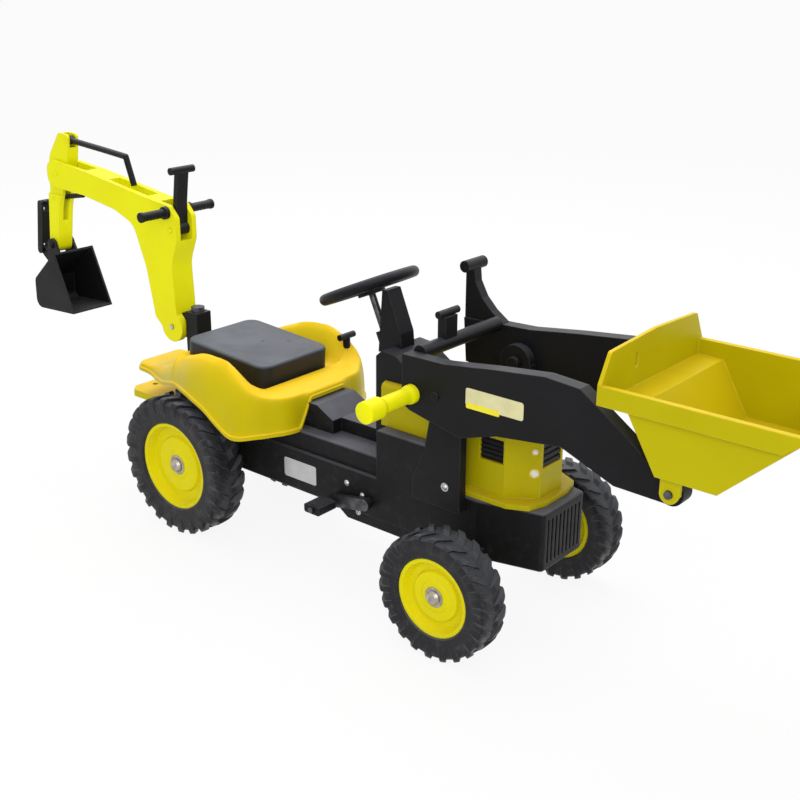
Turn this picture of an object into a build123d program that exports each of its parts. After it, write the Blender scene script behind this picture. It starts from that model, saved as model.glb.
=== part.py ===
"""A child's ride-on pedal tractor with a front loader and a rear digger.

Millimetres.  While the pieces are made, X points forward, Y to the left and Z up, and X = 0, Y = 0,
Z = 0 is on the ground under the middle of the rear axle.  At the end the whole toy is shifted so that
its origin is the centre of its outer box, on the ground.

Pieces of the front end are placed from the front axle, those of the loader from its lifting pin and
its dumping pin, and those of the digger from their own pins, so a size can be changed by itself.
"""
import os
from math import cos, radians, sin

from build123d import *

# ---------------------------------------------------------------- driving dimensions
wheelbase = 640
ground_gap = 130            # under the hull

# wheels
rear_wheel_r = 134
rear_tyre_w = 68
rear_track = 276            # between the middles of the tyres
front_wheel_r = 106
front_tyre_w = 60
front_track = 346
rim_share = 0.62            # rim radius over wheel radius
axle_r = 8
stub_r = 7

# clearances
slip = 0.1                  # pieces fixed in each other
running = 0.3               # shaft in its bearing
gap = 1.5                   # flat pieces that pass each other

# hull
hull_half = 84
hull_rear = -112
hull_top = 207
hull_front_top = 232
hull_corner = 8
hull_edge = 5
ledge_rear = -90
ledge_top = 243
spine_half = 28
spine_top = 268
neck_half = 50
neck_top = 288
block_top = 297
crank_z = 160
crank_arm = 76
crank_angle = 191.0         # of the right arm, from straight ahead
crank_arm_w = 10
pedal_size = (36, 44, 16)
pedal_pin_r = 5

# rear plate for a trailer's pin
tow_hole_x = -245
tow_hole_r = 6
tow_z = (180, 194)

# body shell and seat
shell_half = 165
shell_low = 224
shell_front = 172
nose_front = 243
nose_half = 60
nose_top = 306
fender_inner = 92
fender_wall = 4
fender_x = 36
arch_gap = 34               # from the tyre to its arch
fender_thick = 22
deck_z = 262
deck_thick = 16
deck_rear = -231
deck_front = -42
deck_recess = 3
seat_front = 171
seat_half = 87
seat_top = 355
seat_slope = 0.066
seat_round = 6
bed_top = 322.5
bed_slope = 0.131
lever_base = (168, 132)
lever_drop = 23             # below the fender's crown

# hood and dashboard
hood_half = 62
hood_nose_half = 30
hood_round = 10
flange_thick = 8
dash_half = 50
fin_half = 17
sleeve_wall = 8

# steering
steer_z = 509
steer_tilt = 24.4
steer_wheel_r = 88
steer_grip_r = 9.5
steer_shaft_r = 6
kingpin_y = 122
kingpin_r = 6
sleeve_r = 12
beam_half = 14
beam_z = (128, 152)
tie_rod_z = 112
tie_rod_thick = 8
tie_pin_r = 4
knuckle_arm = 56            # from the kingpin back to the tie rod
pitman_pin_r = 5

# loader
tower_thick = 16
arm_thick = 24
lift_z = 405
reach = 403                 # from the lifting pin to the dumping pin
dump_z = 366
arm_end_r = 19
crossbar_r = 12
pin_r = 7
dump_pin_r = 6
bucket_half = 139
bucket_wall = 4
bucket_floor = 388
rim_z = 497
rim_deep = 28
rim_out = 6                 # the rim's step outside the sides
guard_top = 546
ear_thick = 6
ear_r = 14

# digger
swing_x = -100
swing_base_r = 40
swing_base_h = 18
post_half = 18
post_top = 378
boom_half = 25
boom_pin = (-150, 342)
boom_foot_r = 30
tongue_half = 10
stick_pin = (-490, 600)
stick_half = 17
head_half = 13
lever_pin = (-138, 535)
lever_half = 13
link_top = (-466, 668)
link_r = 6
rocker_pin = (-515, 545)
rocker_half = 5
rod_offset = (-64, -22)     # from the rocker's pin to the rod, and from the scoop's pin
rod_half = 11
scoop_pin = (-530, 444)
scoop_half = 50
scoop_wall = 4
lug_thick = 6
digger_pin_r = 5
small_pin_r = 4

# joint ranges, degrees
steer_range = 25
lift_range = (-36, 46)      # positive lowers the bucket
dump_range = (0, 70)        # positive tips it forward
swing_range = (-60, 60)
boom_range = (-45, 15)      # negative lowers it to the rear
dipper_range = (-25, 45)    # positive reaches out
curl_range = (-35, 35)      # positive opens the bucket
lever_ratio = 0.5           # the digger's lever follows the dipper

# stations that follow the front axle
hull_front = wheelbase + 108
hull_nose_half = hull_half - 27
block_x = (wheelbase - 210, wheelbase - 74)
ledge_half = hull_half - 8
crank_x = wheelbase - 225
steer_x = wheelbase - 298
lift_x = wheelbase - 55

# places that follow other sizes
arch_r = rear_wheel_r + arch_gap
fender_z = rear_wheel_r + 51
fender_r = arch_r + fender_thick
tower_y = (hull_half, hull_half + tower_thick)
arm_y = (tower_y[1] + 2, tower_y[1] + 2 + arm_thick)
dump_x = lift_x + reach
bucket_rim_half = bucket_half + rim_out
crank_side = hull_half + 12     # middle of the crank arms
pedal_y = crank_side + crank_arm_w + pedal_size[1] / 2
through = 400                   # length of a cut that goes right through


# ---------------------------------------------------------------- helpers
def outline(points, corner=0):
    """A closed line through the points, with one radius for all corners or one for each."""
    if corner == 0:
        return Polyline(*points, close=True)
    return FilletPolyline(*points, radius=corner, close=True)


def side_plate(points, y_low, y_high, corner=0):
    """An outline of (x, z) points carried across from y_low to y_high."""
    face = make_face(outline(points, corner))
    return extrude(Plane.XZ.offset(-y_high) * face, amount=y_high - y_low)


def plan_plate(points, z_low, z_high, corner=0):
    """A plan of (x, y) points on the left side, mirrored to the right, carried up from z_low."""
    full = list(points) + [(x, -y) for x, y in reversed(points)]
    return extrude(Plane.XY.offset(z_low) * make_face(outline(full, corner)), amount=z_high - z_low)


def placed(origin, offsets):
    """Points given from an origin."""
    return [(origin[0] + x, origin[1] + z) for x, z in offsets]


def rod(start, end, radius):
    """A round bar between two points."""
    start, end = Vector(*start), Vector(*end)
    plane = Plane(origin=start, z_dir=end - start)
    return extrude(plane * Circle(radius), amount=(end - start).length)


def cross_rod(x, z, y_low, y_high, radius):
    """A round bar across the machine."""
    return rod((x, y_low, z), (x, y_high, z), radius)


def cross_bore(x, z, radius):
    """A round cut right through across the machine."""
    return cross_rod(x, z, -through, through, radius)


def post_rod(x, y, z_low, z_high, radius):
    """An upright round bar."""
    return rod((x, y, z_low), (x, y, z_high), radius)


def turned(points):
    """A profile of (radius, y) points turned about the Y axis."""
    return revolve(make_face(Polyline(*points, close=True)), Axis.Y)


def box(x, y, z):
    """A block from its low and high x, y and z."""
    size = [high - low for low, high in (x, y, z)]
    centre = [(high + low) / 2 for low, high in (x, y, z)]
    return Pos(*centre) * Box(*size)


def as_made(shape):
    """The left piece, as it was made."""
    return shape


def other_side(shape):
    """The same piece on the other side of the machine."""
    return mirror(shape, Plane.XZ)


sides = (("left", as_made), ("right", other_side))
nodes = {}


# ---------------------------------------------------------------- wheels
def tyre(radius, width):
    """A fat tyre with slanting shoulders, its middle at the origin."""
    bead = radius * rim_share
    half = width / 2
    one_side = [(bead, half * 0.85), (bead + 8, half), (radius - 14, half), (radius, half * 0.7)]
    return turned(one_side + [(r, -y) for r, y in reversed(one_side)])


def rim(radius, width, bore):
    """A dished wheel disc with a ring step and a raised hub, its outer side towards +Y."""
    edge = radius * rim_share - slip
    half = width / 2
    return turned([
        (bore, -half * 0.6), (bore + 15, -half * 0.6), (bore + 19, 0), (edge - 8, 0),
        (edge - 8, -half * 0.72), (edge, -half * 0.72), (edge, half * 0.78), (edge - 6, half * 0.78),
        (edge - 12, 9), (edge * 0.66, 9), (edge * 0.62, 15), (bore + 20, 15), (bore + 17, 17), (bore, 17)])


def hub_cap(bore):
    """A domed nut over the end of the axle."""
    return turned([(0, 17), (bore + 5, 17), (bore + 5, 21), (bore + 2, 25), (0, 26)])


rear_y = rear_track / 2
rear_z = rear_wheel_r
rear_cap_in = rear_y + 17
nodes["rear_axle"] = cross_rod(0, rear_z, -rear_cap_in, rear_cap_in, axle_r)
at_rear = Pos(0, rear_y, rear_z)
for side, place in sides:
    nodes["rear_tyre_" + side] = place(at_rear * tyre(rear_wheel_r, rear_tyre_w))
    nodes["rear_rim_" + side] = place(at_rear * rim(rear_wheel_r, rear_tyre_w, axle_r + slip))
rear_cap = at_rear * hub_cap(axle_r)
nodes["rear_caps"] = rear_cap + other_side(rear_cap)

front_y = front_track / 2
front_z = front_wheel_r
at_front = Pos(wheelbase, front_y, front_z)
for side, place in sides:
    nodes["front_tyre_" + side] = place(at_front * tyre(front_wheel_r, front_tyre_w))
    nodes["front_rim_" + side] = place(at_front * rim(front_wheel_r, front_tyre_w, stub_r + running))

# ---------------------------------------------------------------- hull
steer_axis = Vector(-sin(radians(steer_tilt)), 0, cos(radians(steer_tilt)))
steer_hub = Vector(steer_x, 0, steer_z)


def on_shaft(distance):
    """The point of the steering shaft's axis that far below the steering wheel's hub."""
    return steer_hub - steer_axis * distance


def shaft_x(z):
    """Where the steering shaft's axis is at a height."""
    return on_shaft((steer_z - z) / steer_axis.Z).X


shaft_bore = rod(on_shaft(20), on_shaft(480), steer_shaft_r + running)
axle_bore = cross_bore(0, rear_z, axle_r + running)
crank_bore = cross_bore(crank_x, crank_z, axle_r + running)

hull_plan = [(hull_rear, 60), (40, hull_half), (wheelbase, hull_half), (hull_front, hull_nose_half)]
hull = plan_plate(hull_plan, ground_gap, hull_top, hull_corner)
hull = fillet(hull.faces().sort_by(Axis.Z)[0].edges(), hull_edge)
front_ledge = plan_plate([(block_x[0] + 80, hull_half)] + hull_plan[2:], hull_top, hull_front_top, hull_corner)
hull += fillet(front_ledge.faces().sort_by(Axis.Z)[-1].edges(), hull_edge)
side_ledge = box((ledge_rear, block_x[0]), (-ledge_half, ledge_half), (hull_top, ledge_top))
hull += fillet(side_ledge.faces().sort_by(Axis.Z)[-1].edges().filter_by(Axis.X), hull_edge)
hull += box((shell_front, block_x[0]), (-spine_half, spine_half), (ledge_top, spine_top))
neck_line = [(200, ledge_top), (200, neck_top), (nose_front + 19, neck_top), (nose_front + 57, spine_top),
             (nose_front + 57, ledge_top)]
hull += side_plate(neck_line, -neck_half, neck_half)
block = box(block_x, (-hull_half, hull_half), (hull_top, block_top))
hull += fillet(block.faces().sort_by(Axis.Z)[-1].edges(), hull_edge)
for side in (-1, 1):
    hull += box((-26, 26), sorted((side * (hull_half - 22), side * hull_half)), (ground_gap - 22, ground_gap + 10))
hull -= box((wheelbase - beam_half - slip, wheelbase + beam_half + slip), (-through, through),
            (0, beam_z[1] + slip))
hull -= axle_bore + crank_bore + shaft_bore
rib_count = 9
rib_pitch = 2 * (hull_nose_half - hull_corner) / rib_count
for step in range(rib_count):
    rib_y = (step - (rib_count - 1) / 2) * rib_pitch
    hull -= box((hull_front - 4, hull_front + 4), (rib_y - rib_pitch * 0.22, rib_y + rib_pitch * 0.22),
                (ground_gap + 12, hull_front_top - 14))
nodes["hull"] = hull

housing_half = hull_half - 2
housing_line = [(wheelbase - 302, ground_gap), (wheelbase - 278, ground_gap - 16),
                (wheelbase - 120, ground_gap - 16), (wheelbase - 94, ground_gap)]
housing = side_plate(housing_line, -housing_half, housing_half)
housing -= box((crank_x + 21, wheelbase), (-60, 60), (100, ground_gap))
nodes["crank_housing"] = housing

sleeve_z = (beam_z[0] - 7, beam_z[1] + 8)
beam = box((wheelbase - beam_half, wheelbase + beam_half), (-kingpin_y, kingpin_y), beam_z)
kingpin_bores = Part()
for side in (-1, 1):
    beam += post_rod(wheelbase, side * kingpin_y, *sleeve_z, sleeve_r)
    kingpin_bores += post_rod(wheelbase, side * kingpin_y, 0, 300, kingpin_r + running)
nodes["front_axle_beam"] = beam - kingpin_bores

tow_plate = plan_plate([(tow_hole_x - 22, 34), (tow_hole_x - 7, 50), (hull_rear, 50)], *tow_z)
nodes["tow_plate"] = tow_plate - post_rod(tow_hole_x, 0, 0, 300, tow_hole_r)


# ---------------------------------------------------------------- body shell and seat
def seat_z(x):
    """Height of the sloping seat plane."""
    return seat_top - seat_slope * x


def bed_z(x, rise=0):
    """Height of the sloping bed under the seat, with a rise."""
    return bed_top - bed_slope * x + rise


left_plan = Curve() + [
    Polyline((deck_rear, 0), (deck_rear, 60), (-130, 134), (-60, 150), (-20, shell_half - 2),
             (shell_front, shell_half)),
    ThreePointArc((shell_front, shell_half), (shell_front + 20, 98), (nose_front, nose_half)),
    Line((nose_front, nose_half), (nose_front, 0))]
shell_plan = make_face(left_plan + mirror(left_plan, Plane.XZ))

fender = cross_rod(fender_x, fender_z, fender_inner, shell_half - 1, fender_r)
fender = fillet(fender.faces().sort_by(Axis.Y)[-1].edges(), 38)
fender = fillet(fender.faces().sort_by(Axis.Y)[0].edges(), 22)
arch = cross_rod(0, rear_z, fender_inner + fender_wall, through, arch_r)
fender -= arch
bed_line = [(deck_front, shell_low), (deck_front, bed_z(deck_front)), (seat_front, bed_z(seat_front)),
            (seat_front, nose_top), (nose_front, nose_top), (nose_front, shell_low)]
bed_half = fender_inner + fender_wall
shell = side_plate(bed_line, -bed_half, bed_half)
shell += box((ledge_rear, deck_front), (-bed_half, bed_half), (shell_low, deck_z))
shell += box((deck_rear, deck_front), (-shell_half, shell_half), (deck_z - deck_thick, deck_z))
shell -= arch + other_side(arch)
shell += fender + other_side(fender)
shell = shell & extrude(Plane.XY.offset(shell_low) * shell_plan, amount=300)
shell -= box((ledge_rear - 1, nose_front + 1), (-ledge_half - slip, ledge_half + slip),
             (shell_low - 1, ledge_top + slip))
shell -= box((shell_front - 1, nose_front + 1), (-neck_half - slip, neck_half + slip), (ledge_top - 1, neck_top + slip))
shell -= post_rod(swing_x, 0, deck_z - deck_recess, deck_z + 10, swing_base_r + gap)
nodes["body_shell"] = shell

seat_mid = (deck_front + seat_front) / 2
seat_plane = Plane(origin=(seat_mid, 0, seat_z(seat_mid)), x_dir=(1, 0, -seat_slope), z_dir=(seat_slope, 0, 1))
seat = extrude(seat_plane * RectangleRounded(seat_front - deck_front - 1, 2 * seat_half, 25), amount=-60)
seat = fillet(seat.faces().sort_by(Axis.Z)[-1].edges(), seat_round)
seat -= side_plate([(-200, bed_z(-200, slip)), (300, bed_z(300, slip)), (300, 200), (-200, 200)],
                   -through, through)
nodes["seat"] = seat

lever_top = fender_z + fender_r - lever_drop
fender_lever = post_rod(*lever_base, lever_top - 60, lever_top, 7)
fender_lever += cross_rod(lever_base[0], lever_top, lever_base[1] - 20, lever_base[1] + 20, 6)
nodes["fender_lever"] = fender_lever - fender

# ---------------------------------------------------------------- hood and dashboard
hood_rear = block_x[0] - 8
hood_taper = wheelbase + 34
hood_front = wheelbase + 80
hood_step = block_x[1] + slip
hood_low = hull_front_top + slip
hood_line = [(hood_rear, block_top + slip), (hood_rear, 372), (wheelbase - 40, 378), (wheelbase + 50, 362),
             (wheelbase + 72, 350), (hood_front, 338), (hood_front, hood_low), (hood_step, hood_low),
             (hood_step, block_top + slip)]
hood = side_plate(hood_line, -hood_half, hood_half)
long_edges = [edge for edge in hood.edges()
              if abs(abs(edge.center().Y) - hood_half) < slip and edge.center().Z > 350]
hood = fillet(long_edges, hood_round)
cheek = [(hood_taper, hood_half), (hood_front + 5, hood_nose_half - 3), (hood_front + 5, 100), (hood_taper, 100)]
for place in (as_made, other_side):
    hood -= place(extrude(Plane.XY.offset(200) * make_face(Polyline(*cheek, close=True)), amount=200))
hood += plan_plate([(hood_step, hull_half - 4), (wheelbase + 50, hull_half - 4), (wheelbase + 83, 64),
                    (wheelbase + 93, 32)], hood_low, hood_low + flange_thick)
hood -= shaft_bore
for side in (-1, 1):
    hood -= box((wheelbase - 14, wheelbase + 31), sorted((side * (hood_half - 6), side * (hood_half + 6))),
                (294, 334))
grille_half = hood_nose_half - 5
grille_z = (290, 332)
grille_x = hood_front - 6
hood -= box((grille_x, hood_front + 1), (-grille_half, grille_half), grille_z)
nodes["hood"] = hood

grille = box((grille_x + slip, grille_x + 2), (-grille_half + slip, grille_half - slip),
             (grille_z[0] + slip, grille_z[1] - slip))
slat_pitch = (grille_z[1] - grille_z[0]) / 4
for step in range(4):
    slat_z = grille_z[0] + (step + 0.5) * slat_pitch
    grille += box((grille_x + 1, hood_front - 1), (-grille_half + slip, grille_half - slip),
                  (slat_z - slat_pitch * 0.28, slat_z + slat_pitch * 0.28))
nodes["grille"] = grille

dash_rear = wheelbase - 240
dash_line = [(dash_rear, spine_top + slip), (dash_rear, 410), (dash_rear + 12, 421), (dash_rear + 42, 418),
             (dash_rear + 82, 392), (dash_rear + 82, 360), (hood_rear - slip, 360), (hood_rear - slip, spine_top + slip)]
dash = side_plate(dash_line, -dash_half, dash_half)
dash -= side_plate([(hood_rear - 1, 300), (hood_rear - 1, 372 + slip), (wheelbase - 40, 378 + slip),
                    (wheelbase - 40, 300)], -through, through)
nodes["dashboard"] = dash - shaft_bore

fin_line = placed((steer_x, steer_z), [(35, -105), (43, 4), (54, 5), (83, -65), (86, -95)])
column = side_plate(fin_line, -fin_half, fin_half)
column += rod(on_shaft(78), on_shaft(160), steer_shaft_r + running + sleeve_wall)
column -= side_plate([(dash_rear, 200), dash_line[1], dash_line[2], dash_line[3], dash_line[4], (dash_rear + 82, 200)],
                     -through, through)
nodes["steering_column"] = column - shaft_bore

# ---------------------------------------------------------------- steering
ring_r = steer_wheel_r - steer_grip_r
steer_plane = Plane(origin=steer_hub, x_dir=(0, 1, 0), z_dir=steer_axis)
wheel = Torus(ring_r, steer_grip_r)
for turn in (90, 210, 330):
    wheel += Rot(0, 0, turn) * (Pos(ring_r / 2, 0, -3) * Box(ring_r, 20, 9))
wheel += Pos(0, 0, -5) * Cylinder(24, 20)
wheel -= Pos(0, 0, -18) * Cylinder(steer_shaft_r + slip, 30)
nodes["steering_wheel"] = steer_plane.location * wheel

tie_rod_x = wheelbase - knuckle_arm
pitman_low = tie_rod_z + tie_rod_thick / 2 + 2
pitman_high = pitman_low + 7
pitman_x = shaft_x(tie_rod_z) - knuckle_arm / steer_axis.Z
shaft_end = Vector(shaft_x(pitman_high), 0, pitman_high)
shaft_foot = shaft_end.X + 8
nodes["steering_shaft"] = rod(steer_hub - steer_axis * 4, shaft_end, steer_shaft_r) \
    - box((shaft_end.X - 60, shaft_foot), (-60, 60), (0, pitman_high + slip))
nodes["pitman_arm"] = box((pitman_x - 8, shaft_foot), (-6, 6), (pitman_low, pitman_high))
nodes["pitman_pin"] = post_rod(pitman_x, 0, tie_rod_z - 7, pitman_low - slip / 2, pitman_pin_r)

arm_z = (tie_rod_z - 16, tie_rod_z - 6)
for side, place in sides:
    knuckle = post_rod(wheelbase, kingpin_y, arm_z[0], sleeve_z[1] + running + 5, kingpin_r)
    knuckle += post_rod(wheelbase, kingpin_y, arm_z[0] - 2, sleeve_z[0] - running, sleeve_r + 1)
    knuckle += post_rod(wheelbase, kingpin_y, sleeve_z[1] + running, sleeve_z[1] + running + 5, 10)
    knuckle += cross_rod(wheelbase, front_z, kingpin_y, front_y + 17, stub_r)
    knuckle += box((tie_rod_x, wheelbase), (kingpin_y - 8, kingpin_y + 8), arm_z)
    knuckle += post_rod(tie_rod_x, kingpin_y, *arm_z, 10)
    knuckle += post_rod(tie_rod_x, kingpin_y, arm_z[0] + 4, tie_rod_z + 8, tie_pin_r)
    nodes["knuckle_" + side] = place(knuckle)
    nodes["front_cap_" + side] = place(at_front * hub_cap(stub_r))

rod_z = (tie_rod_z - tie_rod_thick / 2, tie_rod_z + tie_rod_thick / 2)
tie = box((tie_rod_x - 6, tie_rod_x + 6), (-kingpin_y, kingpin_y), rod_z)
for side in (-1, 1):
    tie += post_rod(tie_rod_x, side * kingpin_y, *rod_z, 10)
for side in (-1, 1):
    tie -= post_rod(tie_rod_x, side * kingpin_y, 0, 300, tie_pin_r + running)
nodes["tie_rod"] = tie
fork_slot = pitman_pin_r + 2 * gap
fork_half = fork_slot + 6
tie_fork = box((pitman_x - 10, tie_rod_x - 6), (-fork_half, fork_half), rod_z)
tie_fork -= box((pitman_x - 11, tie_rod_x - 26), (-fork_slot, fork_slot), (0, 300))
nodes["tie_rod_fork"] = tie_fork

# ---------------------------------------------------------------- crank and pedals
crank_out = crank_side + crank_arm_w / 2
crank = cross_rod(crank_x, crank_z, -crank_out, crank_out, axle_r)
pedal_at = {}
for side, sign, angle in (("right", -1, crank_angle), ("left", 1, crank_angle - 180)):
    end_x = crank_x + crank_arm * cos(radians(angle))
    end_z = crank_z + crank_arm * sin(radians(angle))
    pedal_at[side] = (end_x, end_z)
    arm_plane = Plane(origin=((crank_x + end_x) / 2, sign * crank_side - crank_arm_w / 2, (crank_z + end_z) / 2),
                      x_dir=(end_x - crank_x, 0, end_z - crank_z), z_dir=(0, 1, 0))
    crank += extrude(arm_plane * SlotCenterToCenter(crank_arm, 22), amount=crank_arm_w)
    length, width, height = pedal_size
    crank += cross_rod(end_x, end_z, *sorted((sign * crank_side, sign * (pedal_y + width / 2 + 3))), pedal_pin_r)
    pedal = Pos(end_x, sign * pedal_y, end_z) * Box(length, width - 2 * gap, height)
    pedal = fillet(pedal.edges().filter_by(Axis.Y), height / 4)
    nodes["pedal_" + side] = pedal - cross_bore(end_x, end_z, pedal_pin_r + running)
nodes["crank"] = crank

# ---------------------------------------------------------------- loader
lift = (lift_x, lift_z)
dump = (dump_x, dump_z)
tower_front = wheelbase - 24
tower_line = [(wheelbase - 120, hull_top), (tower_front, hull_top), (tower_front, lift_z), (lift_x - 21, lift_z),
              (lift_x - 40, 300), (wheelbase - 120, 240)]
arm_rear = {"left": [(-113, -27), (-119, 50)], "right": [(-66, -27), (-66, 54)]}
arm_top = [(15, 55), (105, 67), (195, 77), (253, 73), (287, 50), (345, 11), (387, -26)]
arm_low = [(315, -55), (227, -21), (115, -35), (48, -56), (-50, -35)]


def on_arm_rear(x):
    """Height of the left arm's rear top edge, at a distance from the lifting pin."""
    (x0, z0), (x1, z1) = arm_rear["left"][1], arm_top[0]
    return z0 + (z1 - z0) * (x - x0) / (x1 - x0)


def between(sign, low, high):
    """The low and high y of what lies between two distances from the centre plane."""
    return sorted((sign * low, sign * high))


lift_pins = Part()
for side, sign in (("left", 1), ("right", -1)):
    tower = side_plate(tower_line, *between(sign, *tower_y)) + cross_rod(*lift, *between(sign, *tower_y), 30)
    nodes["tower_" + side] = tower - cross_bore(*lift, pin_r + slip)
    lift_pins += cross_rod(*lift, *between(sign, tower_y[0] - 4, arm_y[1] + 2), pin_r)
    lift_pins += cross_rod(*lift, *between(sign, tower_y[0] - 8, tower_y[0] - slip), pin_r + 4)
    arm_line = placed(lift, arm_rear[side] + arm_top) + [dump, (dump_x - 4, dump_z - arm_end_r + 1)]
    arm = side_plate(arm_line + placed(lift, arm_low), *between(sign, *arm_y))
    arm += cross_rod(*dump, *between(sign, *arm_y), arm_end_r)
    arm -= cross_bore(*lift, pin_r + running)
    nodes["loader_arm_" + side] = arm - cross_bore(*dump, dump_pin_r + slip)
nodes["lift_pins"] = lift_pins

crossbar_x = lift_x - 50
crossbar_z = lift_z + 53
catch_z = crossbar_z + crossbar_r
catch_y = -33
nodes["crossbar"] = cross_rod(crossbar_x, crossbar_z, -arm_y[0], arm_y[0], crossbar_r)
catch = box((crossbar_x - 8, crossbar_x + 8), (catch_y - 15, catch_y + 15), (catch_z - 6, catch_z + 33))
catch += cross_rod(crossbar_x, catch_z + 38, catch_y - 25, catch_y + 25, 6)
nodes["catch_knob"] = catch - cross_bore(crossbar_x, crossbar_z, crossbar_r + slip)

lever_foot = [(x, on_arm_rear(x) + slip) for x in (-40, -119)]
lever_line = placed(lift, lever_foot + [(-119, 135), (-101, 135), (-99, 115), (-85, 90), (-65, 70)])
lever = side_plate(lever_line, arm_y[0] + 3, arm_y[1] - 3)
nodes["loader_lever"] = lever + cross_rod(lift_x - 110, lift_z + 142, arm_y[0] - 14, arm_y[1] + 14, 10)
nodes["loader_grip"] = cross_rod(lift_x - 45, lift_z - 6, -arm_y[1] - 114, -arm_y[1] - slip, 15)
dump_pins = cross_rod(*dump, arm_y[0], arm_y[1] + gap + ear_thick + 3, dump_pin_r)
nodes["dump_pins"] = dump_pins + other_side(dump_pins)

guard_thick = 6
guard_x = dump_x - 112
bucket_front = dump_x + 182
rim_low = rim_z - rim_deep
slope = (dump_x + 70, bucket_floor)        # foot of the front slope, which rises at 43 degrees
slope_top = (bucket_front - 4, bucket_floor + (bucket_front - 4 - slope[0]) * 0.94)
knee = (dump_x - 20, bucket_floor)
bucket = side_plate([(guard_x, rim_z), (guard_x, rim_low), (dump_x - 68, rim_low), knee, slope, slope_top,
                     (bucket_front, rim_z)], -bucket_half, bucket_half)
bucket += side_plate([(guard_x, rim_z), (guard_x, rim_low), (slope[0] + rim_low - bucket_floor, rim_low), slope_top,
                      (bucket_front, rim_z)], -bucket_rim_half, bucket_rim_half)
bucket -= side_plate([(guard_x + guard_thick, rim_z + 1), (guard_x + guard_thick, rim_low + bucket_wall),
                      (dump_x - 68 + bucket_wall, rim_low + bucket_wall),
                      (knee[0] + bucket_wall * 0.6, bucket_floor + bucket_wall),
                      (slope[0] - bucket_wall * 0.4, bucket_floor + bucket_wall),
                      (slope_top[0] - bucket_wall * 1.4, slope_top[1]), (bucket_front - bucket_wall * 1.4, rim_z + 1)],
                     -bucket_half + bucket_wall, bucket_half - bucket_wall)
shoulder = bucket_rim_half - 23
guard_line = [(-bucket_rim_half, rim_low), (-bucket_rim_half, rim_z + 1), (-shoulder, guard_top - 6), (0, guard_top),
              (shoulder, guard_top - 6), (bucket_rim_half, rim_z + 1), (bucket_rim_half, rim_low)]
guard_face = make_face(FilletPolyline(*guard_line, radius=[1, 4, 6, 4, 6, 4, 1], close=True))
bucket += extrude(Plane.YZ.offset(guard_x) * guard_face, amount=guard_thick)
bucket -= box((guard_x - 1, guard_x + guard_thick + 1), (catch_y - 22, catch_y - 16), (rim_z + 4, rim_z + 26))
ear_in = arm_y[1] + gap
for sign in (-1, 1):
    ear_y = between(sign, ear_in, ear_in + ear_thick)
    bucket += box((dump_x - 14, dump_x + 16), ear_y, (dump_z, bucket_floor + bucket_wall / 2))
    bucket += cross_rod(*dump, *ear_y, ear_r)
nodes["loader_bucket"] = bucket - cross_bore(*dump, dump_pin_r + running)

# ---------------------------------------------------------------- digger
base_low = deck_z - deck_recess + slip
base_high = base_low + swing_base_h
nodes["swing_base"] = post_rod(swing_x, 0, base_low, base_high, swing_base_r)
post = box((swing_x - 16, swing_x + 16), (-post_half, post_half), (base_high + running, post_top))
post += box((boom_pin[0], swing_x), (-tongue_half, tongue_half), (boom_pin[1] - 20, boom_pin[1] + 20))
post += cross_rod(*boom_pin, -tongue_half, tongue_half, 20)
post -= cross_bore(*boom_pin, digger_pin_r + slip)
nodes["swing_post"] = post - post_rod(swing_x, 0, 200, 500, axle_r + running)
nodes["swing_pin"] = (post_rod(swing_x, 0, base_high, post_top + running + 4, axle_r)
                      + post_rod(swing_x, 0, post_top + running, post_top + running + 9, axle_r + 5))
nodes["boom_pin"] = cross_rod(*boom_pin, -boom_half - 3, boom_half + 3, digger_pin_r)

# the boom: a leg up from its foot, a knee round the lever's pin and an arm out to the dipper's pin
boom_line = (placed(stick_pin, [(-30, 28), (110, 14)]) + [(-215, 590)]
             + placed(lever_pin, [(-2, 46), (17, 25), (17, -20), (-2, -66)])
             + placed(boom_pin, [(14, 42), (20, -12), (-20, -12), (-48, 12), (-67, 108)])
             + placed(lever_pin, [(-111, -4), (-167, 17)]) + placed(stick_pin, [(88, -33), (-30, -28)]))
boom_round = [22, 200, 150, 10, 10, 40, 60, 20, 0, 0, 10, 150, 40, 80, 150, 22]
boom = side_plate(boom_line, -boom_half, boom_half, boom_round)
boom += cross_rod(*boom_pin, -boom_half, boom_half, boom_foot_r)
fork = tongue_half + gap
boom -= box((boom_pin[0] - 100, boom_pin[0] + 60), (-fork, fork), (boom_pin[1] - 60, boom_pin[1] + 28))
boom -= cross_bore(*boom_pin, digger_pin_r + running)
boom -= box((stick_pin[0] - 90, stick_pin[0] + 88), (-head_half - gap, head_half + gap), (stick_pin[1] - 60, stick_pin[1] + 60))
boom -= cross_bore(*stick_pin, digger_pin_r + slip)
link_slot = link_r + 7
link_cut = placed(link_top, [(136, 60), (136, -78), (166, -83), (226, -118), (254, -120), (254, 60)])
boom -= side_plate(link_cut, -link_slot, link_slot)
lever_slot = lever_half + gap
boom -= box((lever_pin[0] - 36, lever_pin[0] + 50), (-lever_slot, lever_slot), (lever_pin[1] - 20, lever_pin[1] + 90))
nodes["boom"] = boom - cross_bore(*lever_pin, digger_pin_r + slip)

grip_at = (lever_pin[0] - 8, lever_pin[1] + 33)
grip = cross_rod(*grip_at, boom_half + slip, boom_half + 63, 8)
grip += cross_rod(*grip_at, boom_half + slip, boom_half + 8, 12)
nodes["digger_grips"] = grip + other_side(grip)
nodes["boom_tip_pins"] = (cross_rod(*stick_pin, -boom_half - 3, boom_half + 3, digger_pin_r)
                          + cross_rod(*lever_pin, -boom_half - 3, boom_half + 3, digger_pin_r))

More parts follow.
